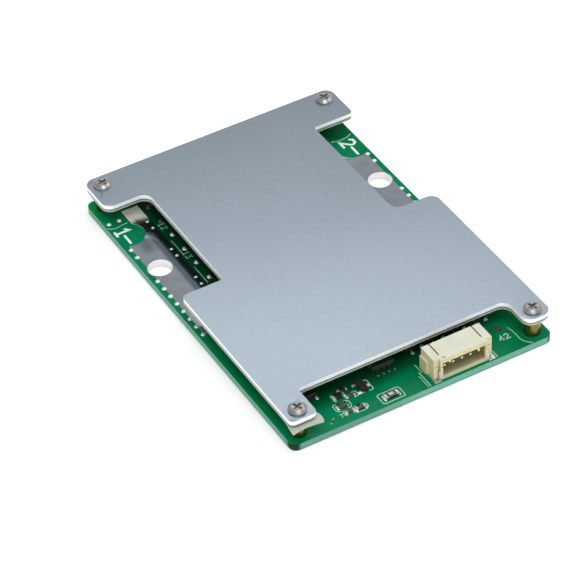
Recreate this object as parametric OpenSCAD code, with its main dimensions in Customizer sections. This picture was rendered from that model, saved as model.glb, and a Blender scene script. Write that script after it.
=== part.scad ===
// Battery management board: a populated circuit board under a flat aluminium heat plate.
// The origin is the middle of the board's underside. +X is to the right, +Y runs away
// from the edge that carries the header, and +Z is up.

/* [Board] */
// Width of the board
board_w = 60; // [58:0.5:80]
// Length of the board, from the header's edge to the rear edge
board_l = 87; // [86:0.5:108]
// Thickness of the board
board_t = 1.6; // [1.2:0.1:2.4]
// Radius of the board's corners
board_round = 1.6; // [0.4:0.1:3]
// Depth of the zone for the header and the small parts, from the front edge
control_zone = 23; // [17.2:0.2:23.6]

/* [Heat plate] */
// Thickness of the plate
plate_t = 1.2; // [0.8:0.1:2]
// How far the plate's front edge stands back from the board's
plate_setback = 0.3; // [0:0.1:0.8]
// Large radius of the plate's outer corners
plate_round = 2.2; // [1:0.1:2.6]
// Small radius of the plate's outer corners
plate_tight = 1.2; // [0.6:0.1:2.6]
// Large radius inside the notches
notch_round = 2.3; // [1:0.1:3]
// Small radius inside the notches
notch_tight = 0.8; // [0.4:0.1:1.5]
// Length of each side notch
side_notch_l = 32.6; // [29:0.2:34]
// Length of the rear ears, from the rear edge to the side notches
rear_ear_l = 10.3; // [9:0.1:12]
// Width of the front ears
front_ear_w = 6; // [5.5:0.1:8]
// How far the front notch reaches in from the plate's front edge
front_notch_depth = 7.8; // [7:0.1:9]

/* [Insulating sheet] */
// Thickness of the sheet between the transistors and the plate
sheet_t = 0.4; // [0.2:0.05:0.8]
// Radius of the sheet's corners where it stands out in front of the plate's left front ear
sheet_round = 0.3; // [0.1:0.1:1]
// How far it stands out there
sheet_overhang = 0.6; // [0:0.1:1]

/* [Screws and spacers] */
// Distance of each screw from the board's side
screw_side = 3; // [2.8:0.1:3.4]
// Distance of each screw from the board's front or rear edge
screw_end = 3; // [2.8:0.1:3.6]
// Diameter of the screw's thread
screw_d = 2; // [1.6:0.1:2.5]
// Length of the screw under its head
screw_l = 5; // [4:0.5:6]
// Diameter of the screw's head
screw_head_d = 3.8; // [3.6:0.1:4.6]
// Height of the screw's head
screw_head_h = 0.9; // [0.7:0.1:1.4]
// Width of one arm of the cross recess
recess_w = 0.55; // [0.4:0.05:0.8]
// Length of the cross recess, tip to tip
recess_l = 2.1; // [1.6:0.1:2.6]
// Depth of the cross recess
recess_depth = 0.55; // [0.3:0.05:0.6]
// Turn of the cross recess
recess_turn = 20; // [0:5:90]
// Height of the straight rim of the screw's head
head_rim_h = 0.4; // [0.2:0.05:0.6]
// Diameter of the flat on top of the screw's head
head_crown_d = 2.6; // [2.4:0.1:3.4]
// Gap round the screw in the plate and the sheet
screw_clearance = 0.2; // [0.1:0.05:0.4]
// Gap round the screw in the spacer
thread_clearance = 0.03; // [0.01:0.01:0.08]
// Diameter of the brass spacer
spacer_d = 3.4; // [3.2:0.1:4.4]
// Diameter of the spacer's spigot in the board
spigot_d = 2.7; // [2.6:0.1:3]
// How far the spigot stops short of the board's underside
spigot_recess = 0.2; // [0.1:0.1:0.6]

/* [Terminals] */
// Diameter of the two bolt holes
terminal_d = 5.2; // [4.2:0.1:5.4]
// Distance of each bolt hole from the board's side
terminal_side = 3.5; // [3.4:0.1:5]
// Distance of the bolt holes from the rear edge
terminal_rear = 26.8; // [25:0.2:30]
// Wall of the plated barrel that lines each hole
barrel_wall = 0.2; // [0.1:0.05:0.3]
// Thickness of the tinned lands
land_t = 0.1; // [0.05:0.05:0.2]
// Gap between a land and the solder joints at the leads' tips
land_gap = 1.2; // [0.6:0.1:1.6]
// Bare margin between a land and the board's side
land_margin = 1.3; // [1.2:0.1:1.5]
// How far a land runs from its hole towards the front
land_front = 22.6; // [20:0.2:23]
// How far a land runs from its hole towards the rear
land_rear = 11; // [9.4:0.2:11.4]
// Length of the plain land under the board
under_land_l = 22.6; // [16:0.2:24]
// How far the left land's tail runs on past that
tail_l = 9.4; // [4:0.2:10]
// Width of the left land's tail
tail_w = 3.8; // [2:0.1:5]
// Radius of the window that is left for each terminal's mark
window_r = 3.7; // [3:0.1:4]
// Width of the land that is left beside the window
neck_w = 2.5; // [1.5:0.1:4]
// Distance of that window's middle from the hole, towards the rear
window_rear = 12.9; // [12.5:0.1:13.5]

/* [Solder-filled vias] */
// Diameter of a solder cap
cap_d = 1; // [0.8:0.05:1.1]
// Height of a solder cap
cap_h = 0.3; // [0.25:0.05:0.4]
// Diameter of the solder in the board
via_d = 0.5; // [0.3:0.05:0.6]
// Distance of the outer rows from the board's side
via_side = 1.1; // [0.9:0.1:1.2]
// Step of the vias along a row
via_pitch = 2.75; // [2.4:0.05:3]
// Vias in front of each hole, in the outer row
front_vias = 8; // [3:1:8]
// Distance of the first via in front of the left hole
left_via_front = 3.4; // [3.3:0.1:5]
// Distance of the first via behind the left hole
left_via_rear = 5.5; // [5:0.1:6.5]
// Distance of the first via in front of the right hole
right_via_front = 4.8; // [3.3:0.1:5]
// Distance of the first via behind the right hole
right_via_rear = 6.3; // [5:0.1:6.5]
// Distance of the two rear vias from the rear edge
corner_via_rear = 8.7; // [7:0.1:9.4]
// Distance of the inner vias from the land's inner edge
inner_via_in = 0.7; // [0.5:0.1:1.2]
// Step of the inner vias in each pair
inner_via_pitch = 2.4; // [2:0.1:3]
// How far each inner pair starts behind a transistor's centre line
inner_via_lead = 3.9; // [2.6:0.1:4.8]
// Diameter of an inner solder cap
inner_cap_d = 0.7; // [0.55:0.05:0.8]

/* [Power transistors] */
// Gap along the board's middle, between the tabs of the two columns
column_gap = 8; // [6:0.2:10]
// Length of a transistor, from the tips of its leads to the end of its tab
fet_l = 15.2; // [14.6:0.1:15.6]
// Width of a transistor's body
fet_w = 10.1; // [9.6:0.1:10.3]
// Height of a transistor, which is also the height of the spacers
fet_h = 4.3; // [4.1:0.1:5]
// Length of the moulded body
fet_body_l = 9.1; // [8.4:0.1:9.4]
// How far the tab stands out behind the body
fet_tab_out = 1.4; // [1:0.1:1.8]
// Thickness of the tab
fet_tab_t = 1.3; // [1:0.1:1.5]
// How much narrower than the body the tab is on each side, where the body covers it
fet_tab_waist = 0.9; // [0.5:0.1:1.5]
// How much narrower than the body the open end of the tab is on each side
fet_tab_inset = 0.2; // [0:0.05:0.4]
// Length of the body's nose in front of the covered tab
fet_nose_l = 1.2; // [0.8:0.1:1.8]
// Distance between the two outer leads and the middle stub
fet_lead_pitch = 2.54; // [2.3:0.02:2.8]
// Width of a lead
fet_lead_w = 0.85; // [0.6:0.05:1]
// Thickness of a lead
fet_lead_t = 0.5; // [0.4:0.05:0.6]
// Length of a lead's foot on the board
fet_foot_l = 2.2; // [1.6:0.1:2.4]
// How far the cut middle stub stands out of the body
fet_stub_l = 0.9; // [0.5:0.1:1.5]
// How far a lead reaches into the body
fet_grip_l = 1; // [0.5:0.1:2]
// Gap from one transistor to the next
fet_gap = 0.4; // [0.2:0.1:2]
// Bare strip of board behind the rearmost transistors
fet_rear = 0.65; // [0.4:0.05:3]
// Gap between the plate's side notch and the tips of the leads
lead_gap = 1; // [0.8:0.1:1.4]
// Width of a solder joint at a lead's tip
joint_d = 1.2; // [1:0.1:1.3]
// Height of that joint
joint_h = 0.4; // [0.25:0.05:0.45]

/* [Sense resistors] */
// Length of a sense resistor, along the board
sense_l = 6.4; // [5:0.1:7]
// Gap between a sense resistor and the tabs beside it
sense_gap = 2.4; // [0.6:0.1:2.6]
// Height of its end blocks
sense_h = 1; // [0.7:0.1:1.4]
// Length of each end block
sense_end_l = 1.2; // [0.8:0.1:1.6]
// Thickness of the alloy strip between the end blocks
sense_strip_t = 0.6; // [0.4:0.1:0.6]

/* [Header] */
// Sideways place of the header's middle
header_x = 9.5; // [8.6:0.1:11.5]
// How far the header's mouth stands back from the board's front edge
header_setback = 0.65; // [0.6:0.05:0.8]
// Number of contacts
ways = 5; // [3:1:5]
// Step from one contact to the next
way_pitch = 2; // [1.8:0.05:2.1]
// Width of the mouth's frame beyond the outer contacts, on each side
mouth_side = 1.5; // [1.3:0.1:1.8]
// How far each wing stands out beyond the frame of the mouth
wing_out = 1.25; // [0.8:0.05:1.4]
// Depth of the frame in front of the wings
mouth_lip = 0.65; // [0.4:0.05:0.8]
// Depth of the header, from its mouth to its back
header_depth = 5.35; // [5:0.05:5.6]
// Height of the header
header_h = 5.2; // [4.8:0.1:5.6]
// Side and floor walls of the mouth
header_wall = 0.55; // [0.4:0.05:0.7]
// Roof of the mouth
header_roof = 1; // [0.8:0.05:1.2]
// Back wall behind the mouth
header_back = 0.9; // [0.7:0.05:1.2]
// Width of the slots in the roof
slot_w = 0.32; // [0.2:0.02:0.5]
// Length of the slots in the roof
slot_l = 3.7; // [2:0.1:4.2]
// Depth of the slots in the roof
slot_depth = 0.7; // [0.3:0.05:0.75]
// Width of the keying ribs under the roof
key_w = 0.5; // [0.3:0.05:0.8]
// How far the keying ribs hang down
key_h = 0.45; // [0.2:0.05:0.6]
// Distance of each keying rib from the header's middle
key_x = 3.3; // [3:0.05:3.5]
// How far the low step on each flank stands out beyond the wing
step_out = 0.35; // [0.2:0.05:0.5]
// Height of that step
step_h = 3.3; // [2.8:0.1:3.6]
// Height of the seam that carries the step's line on round the front of each wing
seam_h = 0.25; // [0.1:0.05:0.4]
// Depth of that seam
seam_depth = 0.35; // [0.1:0.05:0.38]
// Diameter of the moulding mark in the roof
gate_d = 0.7; // [0.4:0.05:0.8]
// Depth of that mark
gate_depth = 0.3; // [0.1:0.05:0.4]
// Distance of the mark from the header's middle
gate_x = 4.5; // [4:0.1:4.6]
// Distance of the mark from the mouth
gate_back = 0.5; // [0.45:0.05:1]
// Thickness of a contact
pin_t = 0.5; // [0.4:0.02:0.6]
// Height of the contacts' middle above the board
pin_z = 2.6; // [2:0.05:2.8]
// How far a contact's tip stands back from the mouth
pin_setback = 0.9; // [0.5:0.1:1.5]
// Length of a contact's foot behind the header
pin_foot_l = 1.1; // [0.8:0.1:1.3]
// Thickness of a contact's foot
pin_foot_t = 0.3; // [0.2:0.05:0.4]
// Thickness of the fitting tabs at the header's sides
tab_t = 0.3; // [0.2:0.05:0.4]
// How far a fitting tab stands out in front of the mouth
tab_front = 0.5; // [0.3:0.05:0.55]
// Length of a fitting tab's strip along the wing
tab_strip_l = 2; // [1:0.1:2.1]
// Gap between that strip and the low step behind it
tab_gap = 0.1; // [0:0.05:0.3]
// Height of the blade by which a fitting tab holds the header's cheek
tab_blade_h = 2.3; // [1.5:0.1:3]

/* [Protection chip] */
// Sideways place of the chip
chip_x = -3.8; // [-4:0.1:-2.8]
// Distance of the chip's middle from the front edge
chip_front = 11.3; // [10.6:0.1:11.3]
// Length of the chip's body
chip_l = 4.9; // [4.6:0.1:5]
// Width of the chip's body
chip_w = 3.9; // [3.6:0.1:3.9]
// Height of the chip
chip_h = 1.6; // [1.3:0.1:1.8]
// Step of the chip's leads
chip_pitch = 1.27; // [1:0.01:1.3]
// How far the chip's leads reach beyond its body
chip_reach = 1.05; // [0.8:0.05:1.1]
// Gap between the moulded bodies of the chip and small transistors and the board
standoff = 0.1; // [0.05:0.01:0.2]

/* [Small parts] */
// Balance stages, each with one small transistor and one resistor behind the header
stages = 4; // [2:1:4]
// Step from one balance stage to the next
stage_pitch = 5; // [4.6:0.1:5.2]
// Sideways place of the first balance stage
stage_x = 3.5; // [3:0.1:4]
// Distance of the balance stages from the front edge
stage_front = 11.7; // [11.4:0.1:12.2]
// Number of bleed resistors in the row behind the balance stages
bleeds = 8; // [4:1:8]
// Step from one bleed resistor to the next
bleed_pitch = 6; // [5.6:0.1:6.3]
// Distance of the row of bleed resistors from the front edge
bleed_front = 15.4; // [15.2:0.1:15.6]
// Diameter of the round test pad
pad_d = 1.9; // [1.6:0.1:2.4]
// Thickness of the round test pad
pad_t = 0.08; // [0.05:0.01:0.2]
// Distance of the round test pad from the board's right side
pad_side = 8.5; // [8:0.1:10]
// Distance of the round test pad from the front edge
pad_front = 7.2; // [6.5:0.1:7.6]
// Length of a small transistor's body
sot_l = 2.9; // [2.6:0.1:3.1]
// Width of a small transistor's body
sot_w = 1.3; // [1.1:0.1:1.5]
// Height of a small transistor
sot_h = 1.1; // [0.9:0.1:1.3]
// Reach of a small transistor's leads beyond its body
sot_reach = 0.75; // [0.5:0.05:0.9]
// Distance from a small transistor's middle to its paired leads
sot_lead_x = 0.95; // [0.8:0.05:1]
// Length of the smallest chip parts
small_l = 1.6; // [1.4:0.1:1.7]
// Width of the smallest chip parts
small_w = 0.8; // [0.6:0.05:0.9]
// Height of the smallest chip parts
small_h = 0.45; // [0.3:0.05:0.6]
// Length of the middling chip parts
middle_l = 2; // [1.8:0.1:2.1]
// Width of the middling chip parts
middle_w = 1.25; // [1:0.05:1.35]
// Height of the middling chip parts
middle_h = 0.6; // [0.4:0.05:0.8]
// Length of the largest chip parts
large_l = 3.2; // [2.8:0.1:3.4]
// Width of the largest chip parts
large_w = 1.6; // [1.2:0.05:1.7]
// Height of the largest chip parts
large_h = 0.6; // [0.4:0.05:0.8]

/* [Hidden] */
$fn = 48;
eps = 0.01;
sides = [-1, 1];

half_w = board_w / 2;
front_y = -board_l / 2;
rear_y = board_l / 2;
top_z = board_t;
sheet_z = top_z + fet_h;
plate_z = sheet_z + sheet_t;
plate_top = plate_z + plate_t;

plate_front = front_y + plate_setback;
notch_rear_y = rear_y - rear_ear_l;
notch_front_y = notch_rear_y - side_notch_l;
tip_x = column_gap / 2 + fet_l;
notch_x = tip_x + lead_gap;
land_x = tip_x + joint_d / 2 + land_gap;
front_notch_y = plate_front + front_notch_depth;
ear_x = half_w - front_ear_w;

screw_places = [for (sx = sides, sy = sides) [sx * (half_w - screw_side), sy * (rear_y - screw_end)]];

terminal_r = terminal_d / 2;
terminal_x = half_w - terminal_side;
terminal_y = rear_y - terminal_rear;

// Places of the solder-filled vias: the outer rows, the pairs beside the leads, and two at the rear.
function row_y(front, rear) = concat(
    [for (i = [0:front_vias - 1]) terminal_y - front - i * via_pitch],
    [for (i = [0:1]) terminal_y + rear + i * via_pitch]);
outer_vias = concat(
    [for (y = row_y(left_via_front, left_via_rear)) [via_side - half_w, y]],
    [for (y = row_y(right_via_front, right_via_rear)) [half_w - via_side, y]],
    [for (i = [0:1]) [via_side - half_w + i * inner_via_pitch, rear_y - corner_via_rear]]);
fet_y = [for (y = [rear_y - fet_rear:-fet_w - fet_gap:front_y + control_zone + fet_w]) y - fet_w / 2];
fet_rows = len(fet_y);
fet_count = 2 * fet_rows;
inner_vias = [for (s = sides, i = [1:3], j = [0:1])
    [s * (land_x + inner_via_in), fet_y[i] + inner_via_lead - j * inner_via_pitch]];

body_x = fet_l - fet_tab_out - fet_body_l;
sense_w = column_gap - 2 * sense_gap;

header_y = front_y + header_setback;
mouth_half = (ways - 1) * way_pitch / 2 + mouth_side;
wing_half = mouth_half + wing_out;

// Small chip parts: [x, distance from the front edge, size, turn]. Sizes are length, width, height.
size_s = [small_l, small_w, small_h];
size_m = [middle_l, middle_w, middle_h];
size_l = [large_l, large_w, large_h];
resistors = concat(
    [[-6.5, 2.2, size_l, 0], [-13.4, 2.4, size_m, 0], [-15.4, 7.4, size_m, 0], [-13.9, 8.6, size_s, 0]],
    [for (i = [0:stages - 1]) [stage_x + 2.5 + i * stage_pitch, stage_front, size_s, 90]],
    [for (i = [0:bleeds - 1]) [(i - (bleeds - 1) / 2) * bleed_pitch, bleed_front, size_l, 0]]);
capacitors = [[-13.3, 6.4, size_s, 0], [-16.2, 4.7, size_m, 0], [-15.7, 2.6, size_s, 0]];
small_transistors = concat(
    [[-10.2, 7.2, -90], [-20.4, 10.4, 0]],
    [for (i = [0:stages - 1]) [stage_x + i * stage_pitch, stage_front, 180]]);

// Width and thickness of the fine leads
thin_lead_w = 0.4;
thin_lead_t = 0.15;
// Share of a chip part's length that each end cap takes
cap_share = 0.18;
// How far an end cap stands above the part's middle
cap_plating = 0.04;

// What lies between a square corner and the arc that rounds it. `out` points out of the arc.
module corner_piece(at, out, r)
    translate([at.x - out.x * r, at.y - out.y * r])
        difference() {
            translate([out.x > 0 ? 0 : -r - eps, out.y > 0 ? 0 : -r - eps])
                square(r + eps);
            circle(r);
        }

// A box given by its lowest corner and its highest corner.
module span(low, high)
    translate(low) cube(high - low);

module rounded_plan(w, l, r)
    difference() {
        square([w, l], center = true);
        for (sx = sides, sy = sides)
            corner_piece([sx * w / 2, sy * l / 2], [sx, sy], r);
    }

// Outline shared by the plate and the sheet under it.
module plate_plan()
    union() {
        difference() {
            translate([-half_w, plate_front]) square([board_w, rear_y - plate_front]);
            for (s = sides) {
                large = s > 0 ? plate_round : plate_tight;
                translate([s > 0 ? notch_x : -half_w - eps, notch_front_y])
                    square([half_w - notch_x + eps, side_notch_l]);
                corner_piece([s * half_w, rear_y], [s, 1], plate_round);
                corner_piece([s * half_w, plate_front], [s, -1], large);
                corner_piece([s * half_w, notch_rear_y], [s, -1], s > 0 ? plate_tight : plate_round);
                corner_piece([s * half_w, notch_front_y], [s, 1], large);
                corner_piece([s * ear_x, plate_front], [-s, -1], large);
            }
            translate([-ear_x, plate_front - eps])
                square([2 * ear_x, front_notch_y - plate_front + eps]);
        }
        corner_piece([-notch_x, notch_rear_y], [1, 1], notch_round);
        corner_piece([-notch_x, notch_front_y], [1, -1], notch_tight);
        corner_piece([notch_x, notch_rear_y], [-1, 1], notch_tight);
        corner_piece([notch_x, notch_front_y], [-1, -1], notch_round);
        corner_piece([-ear_x, front_notch_y], [-1, 1], notch_tight);
        corner_piece([ear_x, front_notch_y], [1, 1], notch_round);
    }

// ---------------------------------------------------------------- board, terminals and vias

module land_plan(side)
    difference() {
        union() {
            translate([side > 0 ? land_x : land_margin - half_w, terminal_y - land_front])
                square([half_w - land_margin - land_x, land_front + land_rear]);
            if (side < 0)
                translate([-land_x - tail_w, terminal_y]) square([tail_w, land_rear + tail_l]);
        }
        translate([side * (land_x + neck_w + window_r), terminal_y + window_rear]) circle(window_r);
    }

// The plated barrel and the land under the board, without the bore.
module terminal_blank(side) {
    translate([side * terminal_x, terminal_y]) cylinder(r = terminal_r + barrel_wall, h = top_z);
    linear_extrude(land_t)
        translate([side * (land_x + half_w - land_margin) / 2, terminal_y])
            square([half_w - land_margin - land_x, under_land_l], center = true);
}

module terminal(side)
    difference() {
        union() {
            terminal_blank(side);
            translate([0, 0, top_z]) linear_extrude(land_t) land_plan(side);
        }
        translate([side * terminal_x, terminal_y, -eps]) cylinder(r = terminal_r, h = plate_top);
        via_shanks();
        via_feet();
    }

module via_shanks()
    for (at = concat(outer_vias, inner_vias))
        translate([at.x, at.y, 0]) cylinder(d = via_d, h = top_z);

module via_feet() {
    for (at = outer_vias)
        translate([at.x, at.y, top_z]) cylinder(d = cap_d, h = cap_h);
    for (at = inner_vias)
        translate([at.x, at.y, top_z]) cylinder(d = inner_cap_d, h = cap_h);
}

// A low dome of solder on a round foot.
module solder_cap(d, h) {
    ball_r = (d * d / 4 + h * h) / (2 * h);
    intersection() {
        translate([0, 0, h - ball_r]) sphere(ball_r);
        cylinder(d = d + eps, h = h + eps);
    }
}

module filled_vias()
    color("gainsboro") {
        via_shanks();
        for (at = outer_vias)
            translate([at.x, at.y, top_z]) solder_cap(cap_d, cap_h);
        for (at = inner_vias)
            translate([at.x, at.y, top_z]) solder_cap(inner_cap_d, cap_h * inner_cap_d / cap_d);
    }

module circuit_board()
    color("seagreen")
        difference() {
            linear_extrude(board_t) rounded_plan(board_w, board_l, board_round);
            for (s = sides) terminal_blank(s);
            via_shanks();
            for (at = screw_places)
                translate([at.x, at.y, -eps]) cylinder(d = spigot_d, h = board_t + 2 * eps);
        }

module left_terminal() color("silver") terminal(-1);
module right_terminal() color("silver") terminal(1);

// ---------------------------------------------------------------- plate, sheet and fixings

module screw_holes(clearance)
    for (at = screw_places) translate(at) circle(d = screw_d + 2 * clearance);

module heat_plate()
    color("lightsteelblue")
        translate([0, 0, plate_z]) linear_extrude(plate_t)
            difference() {
                plate_plan();
                screw_holes(screw_clearance);
            }

// The sheet's end in front of the left front ear, with its nearly square corners.
module sheet_end() {
    end_y = plate_front - sheet_overhang;
    difference() {
        translate([-half_w, end_y]) square([front_ear_w, sheet_overhang + plate_round]);
        corner_piece([-half_w, end_y], [-1, -1], sheet_round);
        corner_piece([-ear_x, end_y], [1, -1], sheet_round);
    }
}

module insulating_sheet()
    color("ivory")
        translate([0, 0, sheet_z]) linear_extrude(sheet_t)
            difference() {
                union() {
                    plate_plan();
                    sheet_end();
                }
                screw_holes(screw_clearance);
            }

module plate_screw()
    difference() {
        union() {
            translate([0, 0, -screw_l]) cylinder(d = screw_d, h = screw_l);
            cylinder(d = screw_head_d, h = head_rim_h);
            translate([0, 0, head_rim_h])
                cylinder(d1 = screw_head_d, d2 = head_crown_d, h = screw_head_h - head_rim_h);
        }
        for (turn = [0, 90])
            rotate(turn + recess_turn)
                translate([0, 0, screw_head_h - recess_depth / 2 + eps])
                    cube([recess_l, recess_w, recess_depth + 2 * eps], center = true);
    }

module plate_screws()
    color("silver")
        for (at = screw_places) translate([at.x, at.y, plate_top]) plate_screw();

module brass_spacers()
    color("goldenrod")
        for (at = screw_places)
            translate([at.x, at.y, 0])
                difference() {
                    union() {
                        translate([0, 0, top_z]) cylinder(d = spacer_d, h = fet_h);
                        translate([0, 0, spigot_recess]) cylinder(d = spigot_d, h = top_z);
                    }
                    translate([0, 0, -eps])
                        cylinder(d = screw_d + 2 * thread_clearance, h = top_z + fet_h + 2 * eps);
                }

// ---------------------------------------------------------------- power transistors

// Places a transistor with the tips of its leads near the side notch and its tab inwards.
module at_transistor(i) {
    side = i > fet_rows ? 1 : -1;
    row = (i - 1) % fet_rows;
    translate([side * tip_x, fet_y[row], top_z]) rotate(side > 0 ? 180 : 0) children();
}

// Tab, middle stub and two outer leads. The leads run from their feet up into the body.
module transistor_metal() {
    lead_z = fet_h / 2;
    body_end = fet_l - fet_tab_out;
    waist = fet_w / 2 - fet_tab_waist;
    tab_half = fet_w / 2 - fet_tab_inset;
    tab_x = body_x + fet_nose_l;
    span([tab_x, -waist, 0], [body_end + eps, waist, fet_tab_t]);
    span([body_end, -tab_half, 0], [fet_l, tab_half, fet_tab_t]);
    span([body_x - fet_stub_l, -fet_lead_w / 2, lead_z - fet_lead_t],
         [tab_x + fet_lead_t, fet_lead_w / 2, lead_z]);
    span([tab_x, -fet_lead_w / 2, fet_tab_t - eps], [tab_x + fet_lead_t, fet_lead_w / 2, lead_z]);
    for (s = sides)
        translate([0, s * fet_lead_pitch - fet_lead_w / 2, 0]) {
            cube([fet_foot_l, fet_lead_w, fet_lead_t]);
            translate([fet_foot_l - fet_lead_t, 0, 0]) cube([fet_lead_t, fet_lead_w, lead_z]);
            span([fet_foot_l - fet_lead_t, 0, lead_z - fet_lead_t],
                 [body_x + fet_grip_l, fet_lead_w, lead_z]);
        }
}

module transistor_frame(i)
    color("gainsboro") at_transistor(i) transistor_metal();

module transistor_body(i)
    color([0.13, 0.13, 0.14])
        at_transistor(i)
            difference() {
                span([body_x, -fet_w / 2, 0], [fet_l - fet_tab_out, fet_w / 2, fet_h]);
                transistor_metal();
            }

// Solder at the tip of each outer lead, moulded round the end of its foot.
module lead_joints()
    color("gainsboro")
        for (i = [1:fet_count])
            at_transistor(i)
                for (s = sides)
                    difference() {
                        translate([0, s * fet_lead_pitch, 0]) solder_cap(joint_d, joint_h);
                        span([0, s * fet_lead_pitch - fet_lead_w / 2, -eps],
                             [fet_foot_l, s * fet_lead_pitch + fet_lead_w / 2, fet_lead_t]);
                    }

module at_sense_resistors()
    for (i = [0:fet_rows - 2])
        translate([0, (fet_y[i] + fet_y[i + 1]) / 2, top_z]) children();

module sense_strips()
    color("dimgray")
        at_sense_resistors()
            span([-sense_w / 2, sense_end_l - sense_l / 2, sense_h - sense_strip_t],
                 [sense_w / 2, sense_l / 2 - sense_end_l, sense_h]);

module sense_ends()
    color("peru")
        at_sense_resistors()
            for (s = sides)
                translate([0, s * (sense_l - sense_end_l) / 2, sense_h / 2])
                    cube([sense_w, sense_end_l, sense_h], center = true);

// ---------------------------------------------------------------- header

module at_header()
    translate([header_x, header_y, top_z]) children();

module contacts() {
    back = header_depth + pin_t;
    for (i = [0:ways - 1])
        translate([(i - (ways - 1) / 2) * way_pitch, 0, 0]) {
            span([-pin_t / 2, pin_setback, pin_z - pin_t / 2], [pin_t / 2, back, pin_z + pin_t / 2]);
            span([-pin_t / 2, header_depth, 0], [pin_t / 2, back, pin_z]);
            span([-pin_t / 2, header_depth, 0], [pin_t / 2, back + pin_foot_l, pin_foot_t]);
        }
}

// The seam round the front of one wing: along its flank, across its front and through the mouth's post.
module wing_seam() {
    low = step_h - seam_h;
    span([wing_half - seam_depth, mouth_lip - eps, low],
         [wing_half + eps, mouth_lip + tab_strip_l + tab_gap, step_h]);
    span([mouth_half - eps, mouth_lip - eps, low], [wing_half + eps, mouth_lip + seam_depth, step_h]);
    span([mouth_half - header_wall - eps, -eps, low], [mouth_half + eps, seam_depth, step_h]);
}

module header_housing()
    color("ivory")
        at_header()
            difference() {
                union() {
                    span([-mouth_half, 0, 0], [mouth_half, header_depth, header_h]);
                    span([-wing_half, mouth_lip, 0], [wing_half, header_depth, header_h]);
                    span([-wing_half - step_out, mouth_lip + tab_strip_l + tab_gap, 0],
                         [wing_half + step_out, header_depth, step_h]);
                }
                difference() {
                    span([header_wall - mouth_half, -eps, header_wall],
                         [mouth_half - header_wall, header_depth - header_back, header_h - header_roof]);
                    for (s = sides)
                        translate([s * key_x, 0, header_h - header_roof])
                            span([-key_w / 2, -2 * eps, -key_h], [key_w / 2, header_depth, eps]);
                }
                for (s = sides)
                    translate([s * (mouth_half - header_wall), header_depth, header_h])
                        span([-slot_w / 2, -slot_l, -slot_depth], [slot_w / 2, eps, eps]);
                for (s = sides) mirror([s > 0 ? 0 : 1, 0, 0]) wing_seam();
                translate([-gate_x, gate_back, header_h - gate_depth])
                    cylinder(d = gate_d, h = gate_depth + eps);
                contacts();
            }

module header_pins()
    color("goldenrod") at_header() contacts();

module header_tabs()
    color("silver")
        at_header()
            for (s = sides)
                mirror([s > 0 ? 0 : 1, 0, 0]) {
                    span([mouth_half, -tab_front, 0], [wing_half + step_out, mouth_lip, tab_t]);
                    span([wing_half, -tab_front, 0],
                         [wing_half + step_out, mouth_lip + tab_strip_l, tab_t]);
                    span([mouth_half, 0, 0], [mouth_half + tab_t, mouth_lip, tab_blade_h]);
                }

// ---------------------------------------------------------------- chip and small parts

// One gull-wing lead that leaves a body's side at +Y. `half` is half of the body's width.
module gull_lead(half, reach, z) {
    knee = half + reach / 2;
    translate([-thin_lead_w / 2, 0, 0]) {
        span([0, half - thin_lead_w, z - thin_lead_t], [thin_lead_w, knee, z]);
        span([0, knee - thin_lead_t, 0], [thin_lead_w, knee, z]);
        span([0, knee - thin_lead_t, 0], [thin_lead_w, half + reach, thin_lead_t]);
    }
}

module chip_leads()
    for (turn = [0, 180], i = [0:3])
        rotate(turn)
            translate([(i - 1.5) * chip_pitch, 0, 0]) gull_lead(chip_w / 2, chip_reach, chip_h / 2);

module at_chip()
    translate([chip_x, front_y + chip_front, top_z]) children();

module protection_chip()
    color([0.12, 0.12, 0.13])
        at_chip()
            difference() {
                span([-chip_l / 2, -chip_w / 2, standoff], [chip_l / 2, chip_w / 2, chip_h]);
                chip_leads();
            }

module protection_chip_leads()
    color("silver") at_chip() chip_leads();

module at_small_transistors()
    for (t = small_transistors)
        translate([t[0], front_y + t[1], top_z]) rotate(t[2]) children();

module sot_leads() {
    gull_lead(sot_w / 2, sot_reach, sot_h / 2);
    for (s = sides)
        translate([s * sot_lead_x, 0, 0]) mirror([0, 1, 0]) gull_lead(sot_w / 2, sot_reach, sot_h / 2);
}

module small_transistor_bodies()
    color([0.14, 0.13, 0.15])
        at_small_transistors()
            difference() {
                span([-sot_l / 2, -sot_w / 2, standoff], [sot_l / 2, sot_w / 2, sot_h]);
                sot_leads();
            }

module small_transistor_leads()
    color("silver") at_small_transistors() sot_leads();

module chip_middle(size) {
    end_l = size.x * cap_share;
    span([end_l - size.x / 2, -size.y / 2, 0], [size.x / 2 - end_l, size.y / 2, size.z - cap_plating]);
}

module chip_ends(size) {
    end_l = size.x * cap_share;
    for (s = sides)
        translate([s * (size.x - end_l) / 2, 0, size.z / 2])
            cube([end_l, size.y, size.z], center = true);
}

module resistor_bodies()
    color([0.15, 0.15, 0.17])
        for (p = resistors) translate([p[0], front_y + p[1], top_z]) rotate(p[3]) chip_middle(p[2]);

module resistor_ends()
    color("silver")
        for (p = resistors) translate([p[0], front_y + p[1], top_z]) rotate(p[3]) chip_ends(p[2]);

module capacitor_bodies()
    color([0.5, 0.38, 0.27])
        for (p = capacitors) translate([p[0], front_y + p[1], top_z]) rotate(p[3]) chip_middle(p[2]);

module capacitor_ends()
    color("silver")
        for (p = capacitors) translate([p[0], front_y + p[1], top_z]) rotate(p[3]) chip_ends(p[2]);

module test_pad()
    color("darkgray")
        translate([half_w - pad_side, front_y + pad_front, top_z]) cylinder(d = pad_d, h = pad_t);

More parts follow.
